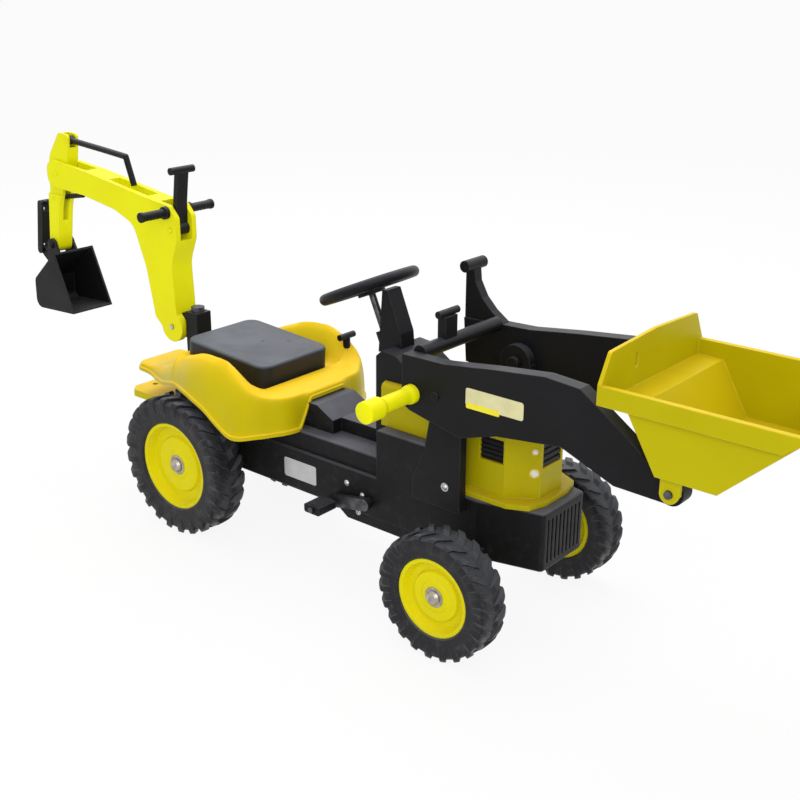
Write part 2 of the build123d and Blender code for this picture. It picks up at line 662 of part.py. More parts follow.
stem_line = placed(lever_pin, [(-6, 0), (-1, 54), (8, 114), (18, 112), (9, 52), (6, 0)])
t_lever = side_plate(stem_line, -lever_half, lever_half)
t_lever += cross_rod(*lever_pin, -lever_half, lever_half, 12)
t_lever += cross_rod(lever_pin[0] + 13, lever_pin[1] + 113, -28, 28, 7)
nodes["digger_lever"] = t_lever - cross_bore(*lever_pin, digger_pin_r + running)

# the dipper: a head in the boom's fork, then a full-width stick down to the scoop's pin
stick_line = (placed(link_top, [(-21, 14)]) + placed(stick_pin, [(-35, 31)])
              + placed(scoop_pin, [(-15, 0), (15, 0)]) + placed(stick_pin, [(-10, -73), (27, 27)])
              + placed(link_top, [(11, 12)]))
stick = side_plate(stick_line, -stick_half, stick_half, [8, 40, 0, 0, 60, 30, 8])
stick += cross_rod(*scoop_pin, -stick_half, stick_half, 15)
neck_z = stick_pin[1] - 46
for sign in (-1, 1):
    stick -= box((stick_pin[0] - 90, stick_pin[0] + 90), between(sign, head_half, stick_half + 1), (neck_z, neck_z + 200))
stick -= cross_bore(*stick_pin, digger_pin_r + running)
stick -= cross_bore(*scoop_pin, digger_pin_r + slip)
stick -= cross_bore(*rocker_pin, small_pin_r + slip)
stick -= cross_bore(*link_top, small_pin_r + slip)
stick -= box((link_top[0] - 14, link_top[0] + 60), (-link_r - gap, link_r + gap), (link_top[1] - 14, link_top[1] + 40))
rocker_cut = placed(rocker_pin, [(-60, -46), (60, -46), (60, 73), (0, 22), (-60, 22)])
stick -= side_plate(rocker_cut, -rocker_half - gap, rocker_half + gap)
nodes["dipper"] = stick

lug_in = stick_half + gap
lug_out = lug_in + lug_thick
nodes["dipper_pins"] = (cross_rod(*scoop_pin, -lug_out - 2, lug_out + 2, digger_pin_r)
                        + cross_rod(*rocker_pin, -stick_half, stick_half, small_pin_r)
                        + cross_rod(*link_top, -head_half, head_half, small_pin_r))

link_path = placed(link_top, [(0, 0), (106, -8), (177, -14), (197, -68)])
link = cross_rod(*link_top, -link_r, link_r, 9)
for (x0, z0), (x1, z1) in zip(link_path, link_path[1:]):
    link += rod((x0, 0, z0), (x1, 0, z1), link_r)
for x, z in link_path[1:3]:
    link += Pos(x, 0, z) * Sphere(link_r)
nodes["link_bar"] = link - cross_bore(*link_top, small_pin_r + running)

rod_top = (rocker_pin[0] + rod_offset[0], rocker_pin[1] + rod_offset[1])
rod_low = (scoop_pin[0] + rod_offset[0], scoop_pin[1] + rod_offset[1])
rocker = rod((rod_top[0], 0, rod_top[1]), (rocker_pin[0], 0, rocker_pin[1]), rocker_half)
rocker += rod((rocker_pin[0], 0, rocker_pin[1]), (rocker_pin[0] + 78, 0, rocker_pin[1] + 14), rocker_half)
rocker += cross_rod(*rocker_pin, -rocker_half, rocker_half, 9) + cross_rod(*rod_top, -rocker_half, rocker_half, 8)
rocker -= cross_bore(*rocker_pin, small_pin_r + running)
nodes["rocker"] = rocker + cross_rod(*rod_top, -rod_half, rod_half, small_pin_r)

rod_run = Vector(rod_top[0] - rod_low[0], 0, rod_top[1] - rod_low[1])
rod_plane = Plane(origin=((rod_top[0] + rod_low[0]) / 2, -rod_half, (rod_top[1] + rod_low[1]) / 2),
                  x_dir=rod_run, z_dir=(0, 1, 0))
bucket_rod = extrude(rod_plane * SlotCenterToCenter(rod_run.length, 16), amount=2 * rod_half)
clevis = rocker_half + gap
bucket_rod -= box((rod_top[0] - 30, rod_top[0] + 30), (-clevis, clevis), (rod_top[1] - 15, rod_top[1] + 30))
bucket_rod -= box((rod_low[0] - 30, rod_low[0] + 30), (-clevis, clevis), (rod_low[1] - 30, rod_low[1] + 15))
bucket_rod -= cross_bore(*rod_top, small_pin_r + running) + cross_bore(*rod_low, small_pin_r + running)
nodes["bucket_rod"] = bucket_rod

scoop_lip = (scoop_pin[0] + 40, scoop_pin[1] - 7)
scoop_heel = (scoop_pin[0] - 34, scoop_pin[1] - 73)
scoop_line = [scoop_lip, scoop_heel] + placed(scoop_pin, [(-36, -135), (93, -128)])


def on_back(share):
    """A point half a wall deep in the scoop's sloping back, at a share of the way from lip to heel."""
    run = Vector(scoop_heel[0] - scoop_lip[0], scoop_heel[1] - scoop_lip[1])
    inward = Vector(-run.Y, run.X).normalized() * scoop_wall / 2
    at = Vector(*scoop_lip) + run * share + inward
    return (at.X, at.Y)


scoop = side_plate(scoop_line, -scoop_half, scoop_half, [0, 16, 18, 0])
mouth = scoop.faces().filter_by(GeomType.PLANE).sort_by(Axis.X)[-1]
scoop = offset(scoop, amount=-scoop_wall, openings=mouth)
for sign in (-1, 1):
    lug_y = between(sign, lug_in, lug_out)
    scoop += side_plate([on_back(0.2), on_back(0.8)] + placed(scoop_pin, [(-13, 0), (13, 4)]), *lug_y)
    scoop += cross_rod(*scoop_pin, *lug_y, 14)
scoop += side_plate([on_back(0.5), on_back(0.85)] + placed(rod_low, [(-6, -5), (4, 7)]), -rocker_half, rocker_half)
scoop += cross_rod(*rod_low, -rocker_half, rocker_half, 8) + cross_rod(*rod_low, -rod_half, rod_half, small_pin_r)
nodes["digging_bucket"] = scoop - cross_bore(*scoop_pin, digger_pin_r + running)

# ---------------------------------------------------------------- shift to the origin and write
everything = [shape.bounding_box() for shape in nodes.values()]
low_x, high_x = min(b.min.X for b in everything), max(b.max.X for b in everything)
low_y, high_y = min(b.min.Y for b in everything), max(b.max.Y for b in everything)
shift = Vector(-(low_x + high_x) / 2, -(low_y + high_y) / 2, 0)

os.makedirs("parts", exist_ok=True)
for name, shape in nodes.items():
    export_step(Pos(shift.X, shift.Y, shift.Z) * shape, f"parts/{name}.step")
print("nodes", len(nodes), "shift", round(shift.X, 3), round(shift.Y, 3))
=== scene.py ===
# %% [markdown]
# # A child's pedal tractor with a front loader and a rear digger
#
# The toy is almost all plastic: black and yellow mouldings, a few steel pins and four hard plastic
# tyres.  The solid model already gives every moulding its outline and its place, so this scene adds
# what a solid model leaves out: the soft form of the body, tread, bolts, blank labels, and above all
# the finishes.
#
# Every piece is made in metres in the model's own frame: X points to the loader bucket, Y to the
# rider's left and Z up, with the origin on the ground under the middle of the toy.

# %% Load the solid model
import math

import bmesh
import bpy
import numpy as np
from mathutils import Matrix, Vector


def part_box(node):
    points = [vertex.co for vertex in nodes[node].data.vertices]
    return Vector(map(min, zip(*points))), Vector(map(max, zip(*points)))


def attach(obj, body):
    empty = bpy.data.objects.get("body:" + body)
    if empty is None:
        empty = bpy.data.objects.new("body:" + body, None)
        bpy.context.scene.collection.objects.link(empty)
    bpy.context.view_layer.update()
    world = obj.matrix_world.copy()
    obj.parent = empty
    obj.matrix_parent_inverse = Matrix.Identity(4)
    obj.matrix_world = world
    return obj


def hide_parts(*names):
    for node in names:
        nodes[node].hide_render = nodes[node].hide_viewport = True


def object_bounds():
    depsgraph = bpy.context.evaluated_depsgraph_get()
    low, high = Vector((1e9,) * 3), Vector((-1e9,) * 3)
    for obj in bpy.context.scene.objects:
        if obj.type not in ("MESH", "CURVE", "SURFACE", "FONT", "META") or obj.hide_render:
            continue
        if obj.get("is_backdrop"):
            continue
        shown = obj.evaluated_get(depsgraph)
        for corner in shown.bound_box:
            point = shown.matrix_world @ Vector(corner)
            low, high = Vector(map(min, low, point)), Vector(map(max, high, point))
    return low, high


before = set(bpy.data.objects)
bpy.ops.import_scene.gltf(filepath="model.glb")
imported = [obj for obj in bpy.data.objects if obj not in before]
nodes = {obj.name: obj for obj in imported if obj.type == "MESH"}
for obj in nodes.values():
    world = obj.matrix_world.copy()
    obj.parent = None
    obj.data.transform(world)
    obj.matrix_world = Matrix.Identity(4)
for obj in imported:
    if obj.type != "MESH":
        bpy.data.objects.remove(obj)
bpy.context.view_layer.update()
scene = bpy.context.scene

# %% [markdown]
# ## The camera
#
# A lens is chosen by its field of view.  A 55 mm lens on a 36 mm wide sensor stands about two metres
# away from a toy of this length, which keeps the bucket and the digger in believable proportion.  The
# camera is placed as a point and an aim, so both can be read off a sketch.  It turns 40 degrees round
# the toy and looks 21 degrees down.

# %% Camera
view_yaw = math.radians(39.84)
view_pitch = math.radians(20.72)
view_roll = math.radians(-0.34)
camera_place = Vector((1.3812, -1.4852, 1.0609))
lens_mm = 55.31

camera = bpy.data.objects.new("camera", bpy.data.cameras.new("camera"))
scene.collection.objects.link(camera)
scene.camera = camera
camera.data.lens = lens_mm
camera.data.sensor_width = 36
camera.data.clip_start, camera.data.clip_end = 0.05, 200
aim = Vector((-math.sin(view_yaw) * math.cos(view_pitch),
              math.cos(view_yaw) * math.cos(view_pitch),
              -math.sin(view_pitch)))
camera.rotation_mode = "QUATERNION"
level_turn = aim.to_track_quat("-Z", "Y").to_matrix()
camera.rotation_quaternion = (Matrix.Rotation(view_roll, 3, aim) @ level_turn).to_quaternion()
camera.location = camera_place
print("camera stands", round(camera_place.length, 2), "m from the middle of the toy")

# %% [markdown]
# ## Shader maths as plain expressions
#
# A finish is a small formula: noise makes a number between 0 and 1, and that number is scaled, added
# and multiplied until it is a roughness or a mix of two colours.  Wiring such a formula by hand takes
# dozens of lines, so one class wraps a socket and lets Python's own operators add the Math nodes.
# The second class is the material that the wires live in, with one method that makes any node.


# %% A socket that can be added, subtracted and multiplied
class Value:
    """An output socket that holds a number; arithmetic on it adds Math nodes to its material."""

    def __init__(self, finish, socket):
        self.finish = finish
        self.socket = socket

    def maths(self, operation, *others):
        """A Math node with this value first; the operation's name is Blender's own."""
        return self.finish.node("ShaderNodeMath", {"operation": operation},
                                {0: self, **dict(enumerate(others, 1))})

    def __add__(self, other):
        return self.maths("ADD", other)

    def __radd__(self, other):
        return self.maths("ADD", other)

    def __mul__(self, other):
        return self.maths("MULTIPLY", other)

    def __rmul__(self, other):
        return self.maths("MULTIPLY", other)

    def __sub__(self, other):
        return self.maths("SUBTRACT", other)

    def __rsub__(self, other):
        return self.finish.node("ShaderNodeMath", {"operation": "SUBTRACT"}, {0: other, 1: self})

    def between(self, low, high):
        """0 below low, 1 above high, and a smooth step in between."""
        return self.finish.node("ShaderNodeMapRange", {"interpolation_type": "SMOOTHSTEP"},
                                {"Value": self, "From Min": low, "From Max": high}, "Result")


# %% A material whose nodes are made by one method
class Finish:
    """A new material, its node tree and the place of each point on the piece."""

    def __init__(self, name):
        self.material = bpy.data.materials.new(name)
        self.material.use_nodes = True
        self.tree = self.material.node_tree
        self.tree.nodes.clear()
        self.output = self.tree.nodes.new("ShaderNodeOutputMaterial")
        self.place = self.node("ShaderNodeTexCoord", output="Object")

    def node(self, kind, settings=None, sockets=None, output=0):
        """Makes a node: its settings first, then the values or links of its sockets."""
        made = self.tree.nodes.new(kind)
        for key, value in (settings or {}).items():
            setattr(made, key, value)
        for key, value in (sockets or {}).items():
            if isinstance(value, Value):
                self.tree.links.new(value.socket, made.inputs[key])
            else:
                made.inputs[key].default_value = value
        return Value(self, made.outputs[output])

    def noise(self, scale, detail=3.0, roughness=0.55, stretch=None):
        """Soft noise in metres: scale is the number of blotches per metre."""
        place = self.place
        if stretch:
            place = self.node("ShaderNodeMapping", {}, {"Vector": self.place, "Scale": stretch})
        return self.node("ShaderNodeTexNoise", {"noise_dimensions": "3D"},
                         {"Vector": place, "Scale": scale, "Detail": detail, "Roughness": roughness}, "Fac")

    def mix(self, share, first, second):
        """A colour between two colours; on a Mix node they are inputs 6 and 7, and output 2."""
        return self.node("ShaderNodeMix", {"data_type": "RGBA"}, {0: share, 6: first, 7: second}, 2)

    def part_of(self, vector, letter):
        """One of the three numbers of a vector."""
        return self.node("ShaderNodeSeparateXYZ", {}, {"Vector": vector}, letter)

    def facing_up(self):
        """0 on walls and undersides, 1 on flat tops, by the piece's own normal."""
        return self.part_of(self.node("ShaderNodeTexCoord", output="Normal"), "Z").between(0.1, 0.9)

    def edges(self, radius):
        """1 along outer and inner edges: there a rounded normal leaves the true one."""
        rounded = self.node("ShaderNodeBevel", {"samples": 4}, {"Radius": radius}, "Normal")
        true = self.node("ShaderNodeNewGeometry", output="Normal")
        agreement = self.node("ShaderNodeVectorMath", {"operation": "DOT_PRODUCT"},
                              {0: rounded, 1: true}, "Value")
        return (1.0 - agreement).between(0.01, 0.22)

    def surface(self, sockets):
        """The Principled shader, joined to the output."""
        shader = self.node("ShaderNodeBsdfPrincipled", {}, sockets)
        self.tree.links.new(shader.socket, self.output.inputs["Surface"])
        return self.material


def rgb(red, green, blue):
    """A colour with full alpha."""
    return (red, green, blue, 1.0)


# %% [markdown]
# ## Moulded plastic
#
# The big pieces are blow-moulded polyethylene.  Up close its skin is a little uneven, like orange
# peel.  Its corners are paler, partly rubbed and partly a painted highlight; its flat tops carry a
# painted highlight that stands in for light and sky sheen from above; and dust lies on it near the
# ground.  A painted texture could show all that, but it would have to be drawn for each piece.
# Here one function makes every plastic finish from noise, height and the direction of the surface, so
# that all the mouldings belong together: only the colours, the gloss and the amount of wear differ.


# %% Moulded plastic
blotch_scale, edge_wear_and_highlight_scale, speck_scale, scuff_scale, peel_scale = 7.0, 40.0, 55.0, 160.0, 420.0   # per metre
edge_wear_and_highlight_radius, rounded_edge, peel_depth = 0.0028, 0.0022, 0.0004          # metres
dust_low, dust_high = 0.02, 0.45                                        # metres above the ground
dust_colour = (0.34, 0.30, 0.24)


def moulded_plastic(name, colour, deep, edge_wear_and_highlight, top, roughness=0.36, grain=0.25, dust=0.16, shine=0.3):
    """Blotchy plastic; edges get wear plus a painted highlight, tops a painted highlight, low parts dust."""
    finish = Finish(name)
    blotch = finish.noise(blotch_scale, 4.0).between(0.35, 0.7)
    paint = finish.mix(blotch * 0.55, rgb(*colour), rgb(*deep))
    # Painted highlight: faces that look up take the top colour, standing in for light and sky sheen from
    # above.
    paint = finish.mix(finish.facing_up() * (0.55 + blotch * 0.35), paint, rgb(*top))
    # Edges take the worn colour: partly real wear, partly a painted highlight along the edges.
    edge_wear_and_highlight_share = finish.edges(edge_wear_and_highlight_radius) * (0.35 + finish.noise(edge_wear_and_highlight_scale, 4.0).between(0.35, 0.65) * 0.6)
    paint = finish.mix(edge_wear_and_highlight_share, paint, rgb(*edge_wear_and_highlight))
    low_down = 1.0 - finish.part_of(finish.place, "Z").between(dust_low, dust_high)
    speck = finish.noise(speck_scale, 6.0, 0.7).between(0.5, 0.78)
    dirt = low_down * speck * dust
    paint = finish.mix(dirt, paint, rgb(*dust_colour))
    scuff = finish.noise(scuff_scale, 2.0, 0.5, (1.0, 1.0, 0.12)).between(0.62, 0.8)
    rough = roughness + finish.noise(18.0, 5.0).between(0.3, 0.75) * 0.12 + scuff * 0.08 + dirt * 0.5
    round_edge = finish.node("ShaderNodeBevel", {"samples": 4}, {"Radius": rounded_edge}, "Normal")
    peel = finish.noise(peel_scale, 2.0, 0.5)
    bump = finish.node("ShaderNodeBump", {}, {"Strength": grain, "Distance": peel_depth, "Height": peel,
                                              "Normal": round_edge}, "Normal")
    glint = rgb(*(0.4 + 0.6 * part for part in top))
    return finish.surface({"Base Color": paint, "Roughness": rough, "Normal": bump,
                           "Specular IOR Level": shine, "Specular Tint": glint})


# %% The nine plastics
# Each top colour below is a painted highlight on faces that look up, the sky's sheen on the black pieces.
# Each worn colour is edge wear together with a painted highlight along the edges; the gold is that
# highlight's colour.
wear_and_highlight_gold = (0.93, 0.66, 0.06)
coal, coal_deep, coal_edge_wear_and_highlight = (0.008, 0.008, 0.009), (0.012, 0.012, 0.014), (0.06, 0.06, 0.066)
yellow_rim = moulded_plastic("lemon_yellow", (0.74, 0.66, 0.003), deep=(0.68, 0.58, 0.002),
                             edge_wear_and_highlight=(0.88, 0.84, 0.03), top=(0.80, 0.68, 0.01), roughness=0.38, shine=0.12)
yellow_digger = moulded_plastic("bright_yellow", (0.83, 0.83, 0.004), deep=(0.80, 0.74, 0.003),
                                edge_wear_and_highlight=(0.92, 0.84, 0.03), top=(0.90, 0.82, 0.02), roughness=0.38, shine=0.12)
# The body's top colour is the painted orange highlight on the crowns of the wings.
yellow_body = moulded_plastic("warm_yellow", (0.57, 0.47, 0.002), deep=(0.50, 0.40, 0.002),
                              edge_wear_and_highlight=wear_and_highlight_gold, top=(1.0, 0.63, 0.02), roughness=0.36, shine=0.16)
# The hood is the body's yellow darkened by painted shade, as if the loader arm's shadow lay on it.
yellow_hood_painted_shade = moulded_plastic("hood_yellow_painted_shade", (0.44, 0.38, 0.002), deep=(0.38, 0.31, 0.002),
                              edge_wear_and_highlight=(0.74, 0.56, 0.03), top=(0.58, 0.43, 0.01), roughness=0.38, shine=0.16)
yellow_bucket = moulded_plastic("bucket_yellow", (0.48, 0.43, 0.002), deep=(0.44, 0.37, 0.002),
                                edge_wear_and_highlight=wear_and_highlight_gold, top=(0.78, 0.56, 0.01), roughness=0.38, shine=0.14)
black_plastic = moulded_plastic("black_plastic", coal, coal_deep, coal_edge_wear_and_highlight, top=(0.052, 0.053, 0.062),
                                roughness=0.40, dust=0.06, shine=0.2)
# The hull is black plastic with a much brighter painted sheen of the sky on its tops.
black_hull_painted_sheen = moulded_plastic("hull_black_painted_sheen", coal, coal_deep, coal_edge_wear_and_highlight, top=(0.13, 0.13, 0.155),
                             roughness=0.40, dust=0.06, shine=0.2)
# The seat's top colour is a painted sheen of the sky; its edges add wear and a painted highlight.
black_seat = moulded_plastic("seat_black", (0.012, 0.012, 0.014), deep=(0.016, 0.016, 0.019),
                             edge_wear_and_highlight=(0.09, 0.095, 0.11), top=(0.105, 0.115, 0.14), roughness=0.42,
                             grain=0.6, dust=0.0, shine=0.5)
# The tyre's top colour is a painted highlight on the bars; its edges add wear and a painted highlight.
black_tyre = moulded_plastic("tyre_black", (0.010, 0.010, 0.012), deep=(0.015, 0.015, 0.018),
                             edge_wear_and_highlight=(0.085, 0.088, 0.10), top=(0.078, 0.082, 0.098), roughness=0.38,
                             grain=0.4, dust=0.16, shine=0.4)
print("plastics:", [m.name for m in bpy.data.materials])

# %% [markdown]
# ## Zinc-plated steel
#
# Axles, pins and bolts are thin zinc over steel.  It is bright but never a mirror: the plating has
# a faint cloudiness, so the roughness wanders, and a little brown-grey gathers where it is handled.


# %% Zinc-plated steel
def plated_steel(name, bright, dull, roughness):
    """Zinc with cloudy roughness between a bright and a dull colour."""
    finish = Finish(name)
    cloud = finish.noise(90.0, 4.0).between(0.3, 0.75)
    colour = finish.mix(cloud, rgb(*bright), rgb(*dull))
    peel = finish.noise(900.0, 2.0)
    bump = finish.node("ShaderNodeBump", {},
                       {"Strength": 0.2, "Distance": 0.0002, "Height": peel}, "Normal")
    return finish.surface({"Base Color": colour, "Metallic": 1.0, "Roughness": roughness + cloud * 0.2,
                           "Normal": bump})


steel = plated_steel("plated_steel", (0.62, 0.62, 0.64), (0.42, 0.41, 0.40), 0.28)
old_steel = plated_steel("handled_steel", (0.50, 0.47, 0.42), (0.30, 0.26, 0.22), 0.36)
black_steel = plated_steel("blackened_steel", (0.12, 0.12, 0.13), (0.05, 0.05, 0.055), 0.38)
print("metals:", steel.name, old_steel.name, black_steel.name)

# %% [markdown]
# ## Blank stickers and milky lamps
#
# The stickers and the small lamps are neither moulded yellow nor black.  A sticker is thin vinyl: even
# in colour, a little yellowed, with a soft gloss.  The lamps are milky plastic over a white backing.
# Clear plastic would need a backing of its own, so both kinds are one opaque finish with aged patches.


# %% Vinyl and milky plastic
def vinyl(name, colour, aged, roughness):
    """A thin printed skin whose colour ages in soft patches."""
    finish = Finish(name)
    patch = finish.noise(38.0, 5.0).between(0.3, 0.75)
    wrinkle = finish.noise(260.0, 3.0)
    bump = finish.node("ShaderNodeBump", {},
                       {"Strength": 0.15, "Distance": 0.0003, "Height": wrinkle}, "Normal")
    return finish.surface({"Base Color": finish.mix(patch * 0.7, rgb(*colour), rgb(*aged)),
                           "Roughness": roughness + patch * 0.12, "Normal": bump})


white_vinyl = vinyl("label_white", (0.52, 0.52, 0.53), (0.38, 0.38, 0.39), 0.4)
cream_vinyl = vinyl("label_cream", (0.70, 0.66, 0.36), (0.56, 0.52, 0.26), 0.4)
yellow_vinyl = vinyl("label_yellow", (0.83, 0.74, 0.01), (0.72, 0.60, 0.01), 0.4)
milky_lens = vinyl("lamp_milky", (0.80, 0.76, 0.64), (0.66, 0.58, 0.42), 0.16)
print("vinyls:", white_vinyl.name, cream_vinyl.name, yellow_vinyl.name, milky_lens.name)

# %% [markdown]
# ## Dressing the solid model
#
# On the real toy each moulding is one colour all through, and pins and axles are bare metal.  So every
# solid node gets a single finish.  A table by finish is easier to check than one line for each node,
# and whatever it doesn't name is black plastic.

# %% Which finish each solid node wears
dressed = (
    (yellow_body, ("body_shell", "tow_plate")),
    (yellow_hood_painted_shade, ("hood",)),
    (yellow_bucket, ("loader_bucket",)),
    (yellow_digger, ("loader_grip", "boom", "dipper", "boom_tip_pins", "dipper_pins")),
    (yellow_rim, ("rear_rim_left", "rear_rim_right", "front_rim_left", "front_rim_right")),
    (black_seat, ("seat",)),
    (black_hull_painted_sheen, ("hull",)),
    (steel, ("rear_axle", "knuckle_left", "knuckle_right", "tie_rod", "tie_rod_fork", "pitman_arm",
             "pitman_pin", "boom_pin")),
    (old_steel, ("rear_caps", "front_cap_left", "front_cap_right")),
    (black_steel, ("crank", "steering_shaft", "swing_pin", "dump_pins")),
)
wears = {name: finish for finish, names in dressed for name in names}
for name, node in nodes.items():
    node.data.materials.clear()
    node.data.materials.append(wears.get(name, black_plastic))
print("finishes:", len(bpy.data.materials), "nodes in black plastic:", len(nodes) - len(wears))

# %% [markdown]
# ## Grids of points become pieces
#
# Every added piece is a surface: a table of points with rows and columns, worked out all at once.
# Each small square of the table becomes a face.  Modelling by hand would pull such a shape from a
# ready-made cylinder; a table keeps the formula in sight and makes the same shape every time.  Points
# that fall together, as at a pole, are merged, and the faces are then turned to look outwards.

# %% A grid of points becomes a piece
mm = 0.001
weld = 1e-6          # points nearer than this become one


def add_piece(name, grid, body, finish, wrap_rows=False, wrap_columns=True, sharp=35.0):
    """A mesh from points of shape (copies, rows, columns, 3).

    A face joins the points (r, c), (r, c+1), (r+1, c+1) and (r+1, c); in a wrapped direction the last
    line joins the first.
    """
    rows, columns = grid.shape[-3:-1]
    copies = grid.reshape(-1, rows, columns, 3)
    row_count, column_count = rows - (not wrap_rows), columns - (not wrap_columns)
    r, c = np.meshgrid(np.arange(row_count), np.arange(column_count), indexing="ij")
    r_next, c_next = (r + 1) % rows, (c + 1) % columns
    corners = ((r, c), (r, c_next), (r_next, c_next), (r_next, c))
    faces = np.stack([row * columns + column for row, column in corners], -1)
    faces = faces.reshape(1, -1, 4) + (np.arange(len(copies)) * rows * columns)[:, None, None]
    mesh = bpy.data.meshes.new(name)
    mesh.from_pydata(copies.reshape(-1, 3).tolist(), [], faces.reshape(-1, 4).tolist())
    shell = bmesh.new()
    shell.from_mesh(mesh)
    bmesh.ops.remove_doubles(shell, verts=shell.verts, dist=weld)
    bmesh.ops.recalc_face_normals(shell, faces=shell.faces)
    shell.to_mesh(mesh)
    shell.free()
    mesh.materials.append(finish)
    mesh.shade_smooth()
    mesh.set_sharp_from_angle(angle=math.radians(sharp))
    made = bpy.data.objects.new(name, mesh)
    scene.collection.objects.link(made)
    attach(made, body)
    print(f"{name}: {len(mesh.polygons)} faces on {body}")
    return made


# %% [markdown]
# ## Places come from the solid nodes
#
# A washer has to sit on its hub and a sticker on its hull.  Their places could be typed in, but then
# they would float in the air as soon as somebody moved a wheel.  So each place is read from the box of
# a solid node, and only a short step from there is written down.


# %% Boxes, middles and outer faces
def box_of(node):
    """The lowest and highest corners of a solid node, as arrays in metres."""
    return tuple(np.array(corner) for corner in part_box(node))


def middle_of(node):
    """The middle of a solid node's box."""
    return sum(box_of(node)) / 2


def outer_face(node, out):
    """The y of a node's outermost face: out is -1 on the right side and 1 on the left."""
    return box_of(node)[0 if out < 0 else 1][1]


sides = (("right", -1), ("left", 1))
wheel_step = middle_of("front_rim_left") - middle_of("rear_rim_left")
print("front wheels stand", round(wheel_step[0] / mm), "mm ahead of the rear wheels")


# %% [markdown]
# ## The yellow body moulding
#
# On the real toy one blow-moulded shell makes the rear deck, both wings over the rear wheels, the bed
# under the seat and the front panel.  The wings grow out of the narrow deck, rise in a soft ridge
# beside the seat and fall again to the front corner, with a thin lip along the whole lower edge.
# Subdivision would need a hand-placed cage for that.  Here the shell is written as a plan outline, a
# height over the plan and a rounded shoulder between the two, all in millimetres from the rear axle.


# %% Plan and height of the body moulding
half_plan = np.array([(-231, 0), (-231, 58), (-180, 62), (-56, 120), (38, 157), (96, 166), (172, 165),
                      (204, 150), (243, 92), (243, 0)], float)     # left half, from the tail to the front
wing_x, wing_y = (-180, -56, 38, 96, 166), (62, 120, 157, 166, 165)
seat_side, ridge_inset = 88, 26
deck_height, nose_height, ridge_rise, ridge_fall = 262, 309, 105, 62
bed_height, bed_slope = 322.2, 0.131


def soft_step(low, high, s):
    """0 below low, 1 above high and 3t^2 - 2t^3 in between."""
    t = np.clip((s - low) / (high - low), 0, 1)
    return t * t * (3 - 2 * t)


def rounded_loop(values, window):
    """The moving average of a closed row of values, which rounds its corners."""
    return np.mean([np.roll(values, shift, axis=0) for shift in range(-window, window + 1)], axis=0)


def body_outline(count=360):
    """Plan outline of the shell, evenly spaced with rounded corners, and its normal, which points inwards."""
    loop = np.concatenate([half_plan, half_plan[-2:0:-1] * (1, -1), half_plan[:1]])
    run = np.concatenate([[0], np.cumsum(np.hypot(*np.diff(loop, axis=0).T))])
    even = np.linspace(0, run[-1], count, endpoint=False)
    line = rounded_loop(np.stack([np.interp(even, run, loop[:, k]) for k in (0, 1)], -1), 5)
    ahead = np.roll(line, -1, axis=0) - np.roll(line, 1, axis=0)
    return line, np.stack([ahead[:, 1], -ahead[:, 0]], -1) / np.hypot(*ahead.T)[:, None]


def shell_height(x, y):
    """Height = middle + (ridge - middle) times the rise, where the ridge is the higher of the two.

    Middle: deck, then sloping bed, then nose.  The rise is a soft step from the seat's side out to the
    ridge, which runs 26 mm inside the wing's edge.
    """
    bed = bed_height - bed_slope * x
    middle = deck_height + (bed - deck_height) * soft_step(-62, -45, x)
    middle = middle + (nose_height - bed) * soft_step(170, 176, x) - 4 * soft_step(190, 243, x)
    ridge = deck_height + ridge_rise * soft_step(-200, 95, x) - ridge_fall * soft_step(110, 228, x)
    side = np.interp(x, wing_x, wing_y)
    rise = soft_step(np.minimum(seat_side, side - 60), side - ridge_inset, np.abs(y))
    return middle + np.maximum(ridge - middle, 0) * rise


print("ridge of the wing in mm:", shell_height(np.array([-100, 0, 100, 200]), 139).round())

# %% Lip, shoulder and skin of the body moulding
lip_x = (-231, -150, -100, -56, -30, 0, 40, 92, 121, 150, 172, 200, 243)
lip_z = (246, 246, 253, 268, 276, 279, 279, 267, 248, 231, 229, 236, 240)
soft_x, soft_radius = (-231, -170, -120, 0, 120, 165, 200, 243), (6, 8, 20, 36, 36, 22, 10, 8)
nose_gap, spine_end, skin_thick = 51, 205, 4


